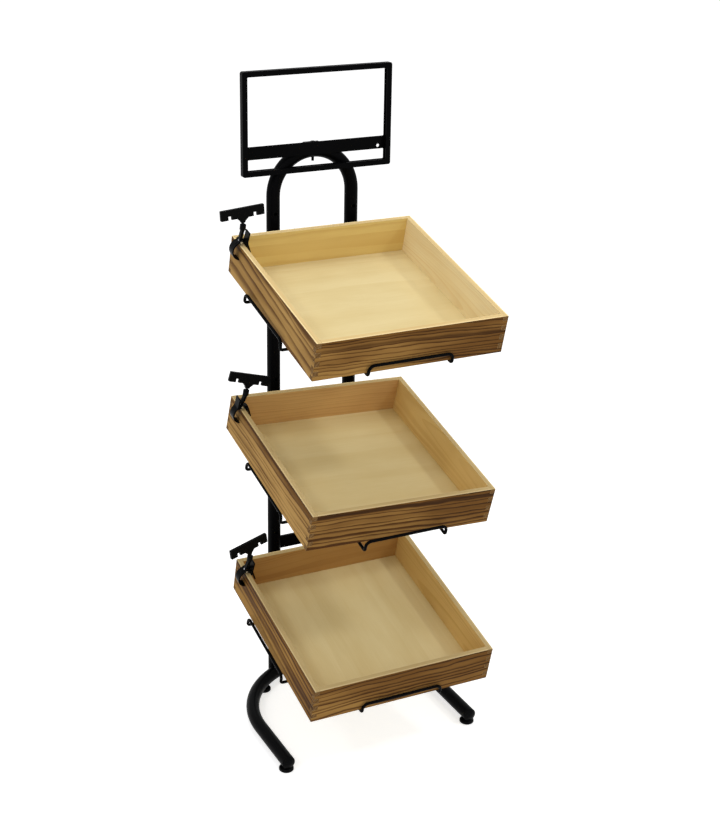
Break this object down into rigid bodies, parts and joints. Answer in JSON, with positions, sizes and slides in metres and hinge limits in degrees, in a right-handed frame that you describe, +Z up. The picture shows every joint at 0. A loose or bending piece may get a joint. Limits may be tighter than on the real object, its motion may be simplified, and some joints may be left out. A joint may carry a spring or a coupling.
{
  "type": "crate display stand",
  "caption": "Free-standing shop stand: bent-tube hoop on a U base, sloping wire racks that hold open wooden crates with clip-on card grippers, and a card frame on top.",
  "frame": {"origin": "on the floor, at the middle of the footprint", "axes": "+Z up along the uprights, -Y towards the front where the crates face, +X to the right seen from the front"},
  "size_m": [0.4203, 0.4211, 1.218],
  "materials": {
    "black_powder_coat": "smooth satin black powder coat",
    "black_plastic": "moulded black plastic with a light sheen",
    "bright_steel": "bright zinc-plated steel",
    "torched_pine": "pine, torched brown on the outside, pale and natural on the inside and edges",
    "pale_plywood": "pale plywood, unfinished"
  },
  "bodies": {
    "stand": {"base_hoop": "black_powder_coat", "leg_caps": "black_plastic", "glide_bushes": "bright_steel", "upright_hoop": "black_powder_coat", "cross_rail": "black_powder_coat", "sign_frame": "black_powder_coat", "sign_bracket": "black_powder_coat", "sign_screw": "black_powder_coat", "rack_nuts": "black_powder_coat", "rack_1_rails": "black_powder_coat", "rack_1_side_loops": "black_powder_coat", "rack_2_rails": "black_powder_coat", "rack_2_side_loops": "black_powder_coat", "rack_3_rails": "black_powder_coat", "rack_3_side_loops": "black_powder_coat"},
    "glide_front_left": {"glide_front_left": "black_plastic"},
    "glide_front_right": {"glide_front_right": "black_plastic"},
    "glide_rear_left": {"glide_rear_left": "black_plastic"},
    "glide_rear_right": {"glide_rear_right": "black_plastic"},
    "crate_1": {"crate_1_left": "torched_pine", "crate_1_right": "torched_pine", "crate_1_front": "torched_pine", "crate_1_back": "torched_pine", "crate_1_bottom": "pale_plywood", "crate_1_brads": "bright_steel", "clip_1_fixed_jaw": "black_plastic", "clip_1_pin": "bright_steel", "clip_1_spring": "bright_steel"},
    "clip_1_jaw": {"clip_1_moving_jaw": "black_plastic"},
    "clip_1_ball": {"clip_1_ball": "black_plastic"},
    "clip_1_card_gripper": {"clip_1_gripper": "black_plastic"},
    "crate_2": {"crate_2_left": "torched_pine", "crate_2_right": "torched_pine", "crate_2_front": "torched_pine", "crate_2_back": "torched_pine", "crate_2_bottom": "pale_plywood", "crate_2_brads": "bright_steel", "clip_2_fixed_jaw": "black_plastic", "clip_2_pin": "bright_steel", "clip_2_spring": "bright_steel"},
    "clip_2_jaw": {"clip_2_moving_jaw": "black_plastic"},
    "clip_2_ball": {"clip_2_ball": "black_plastic"},
    "clip_2_card_gripper": {"clip_2_gripper": "black_plastic"},
    "crate_3": {"crate_3_left": "torched_pine", "crate_3_right": "torched_pine", "crate_3_front": "torched_pine", "crate_3_back": "torched_pine", "crate_3_bottom": "pale_plywood", "crate_3_brads": "bright_steel", "clip_3_fixed_jaw": "black_plastic", "clip_3_pin": "bright_steel", "clip_3_spring": "bright_steel"},
    "clip_3_jaw": {"clip_3_moving_jaw": "black_plastic"},
    "clip_3_ball": {"clip_3_ball": "black_plastic"},
    "clip_3_card_gripper": {"clip_3_gripper": "black_plastic"}
  },
  "joints": [
    {"name": "glide_front_left_screw", "type": "slide", "parent": "stand", "child": "glide_front_left", "axis": [0, 0, -1], "range_m": [0, 0.006]},
    {"name": "glide_front_right_screw", "type": "slide", "parent": "stand", "child": "glide_front_right", "axis": [0, 0, -1], "range_m": [0, 0.006]},
    {"name": "glide_rear_left_screw", "type": "slide", "parent": "stand", "child": "glide_rear_left", "axis": [0, 0, -1], "range_m": [0, 0.006]},
    {"name": "glide_rear_right_screw", "type": "slide", "parent": "stand", "child": "glide_rear_right", "axis": [0, 0, -1], "range_m": [0, 0.006]},
    {"name": "crate_1_lift", "type": "slide", "parent": "stand", "child": "crate_1", "axis": [0, -0.2541, 0.9672], "range_m": [0, 0.14]},
    {"name": "clip_1_jaw_hinge", "type": "hinge", "parent": "crate_1", "child": "clip_1_jaw", "pos_m": [-0.16875, 0.10852, 0.93602], "axis": [0, -0.9672, -0.2541], "range_deg": [0, 12], "stiffness_Nm_per_rad": 0.15, "springref_deg": -28.65},
    {"name": "clip_1_ball_turn", "type": "hinge", "parent": "crate_1", "child": "clip_1_ball", "pos_m": [-0.16525, 0.10089, 0.96503], "axis": [0, -0.2541, 0.9672], "range_deg": [-45, 45]},
    {"name": "clip_1_gripper_tilt", "type": "hinge", "parent": "clip_1_ball", "child": "clip_1_card_gripper", "pos_m": [-0.16525, 0.10089, 0.96503], "axis": [0.997, 0.0339, 0.0702], "range_deg": [-15, 15]},
    {"name": "crate_2_lift", "type": "slide", "parent": "stand", "child": "crate_2", "axis": [0, -0.2541, 0.9672], "range_m": [0, 0.14]},
    {"name": "clip_2_jaw_hinge", "type": "hinge", "parent": "crate_2", "child": "clip_2_jaw", "pos_m": [-0.17195, 0.10396, 0.63125], "axis": [0, 0.9672, 0.2541], "range_deg": [0, 12], "stiffness_Nm_per_rad": 0.15, "springref_deg": -28.65},
    {"name": "clip_2_ball_turn", "type": "hinge", "parent": "crate_2", "child": "clip_2_ball", "pos_m": [-0.16417, 0.09642, 0.65993], "axis": [0.0496, -0.2538, 0.966], "range_deg": [-45, 45]},
    {"name": "clip_2_gripper_tilt", "type": "hinge", "parent": "clip_2_ball", "child": "clip_2_card_gripper", "pos_m": [-0.16417, 0.09642, 0.65993], "axis": [0.9549, 0.0744, -0.2873], "range_deg": [-15, 15]},
    {"name": "crate_3_lift", "type": "slide", "parent": "stand", "child": "crate_3", "axis": [0, -0.2541, 0.9672], "range_m": [0, 0.14]},
    {"name": "clip_3_jaw_hinge", "type": "hinge", "parent": "crate_3", "child": "clip_3_jaw", "pos_m": [-0.16725, 0.10223, 0.30036], "axis": [0, -0.9672, -0.2541], "range_deg": [0, 12], "stiffness_Nm_per_rad": 0.15, "springref_deg": -28.65},
    {"name": "clip_3_ball_turn", "type": "hinge", "parent": "crate_3", "child": "clip_3_ball", "pos_m": [-0.16025, 0.0946, 0.32938], "axis": [0, -0.2541, 0.9672], "range_deg": [-45, 45]},
    {"name": "clip_3_gripper_tilt", "type": "hinge", "parent": "clip_3_ball", "child": "clip_3_card_gripper", "pos_m": [-0.16025, 0.0946, 0.32938], "axis": [0.9624, 0.2202, 0.1592], "range_deg": [-15, 15]}
  ]
}
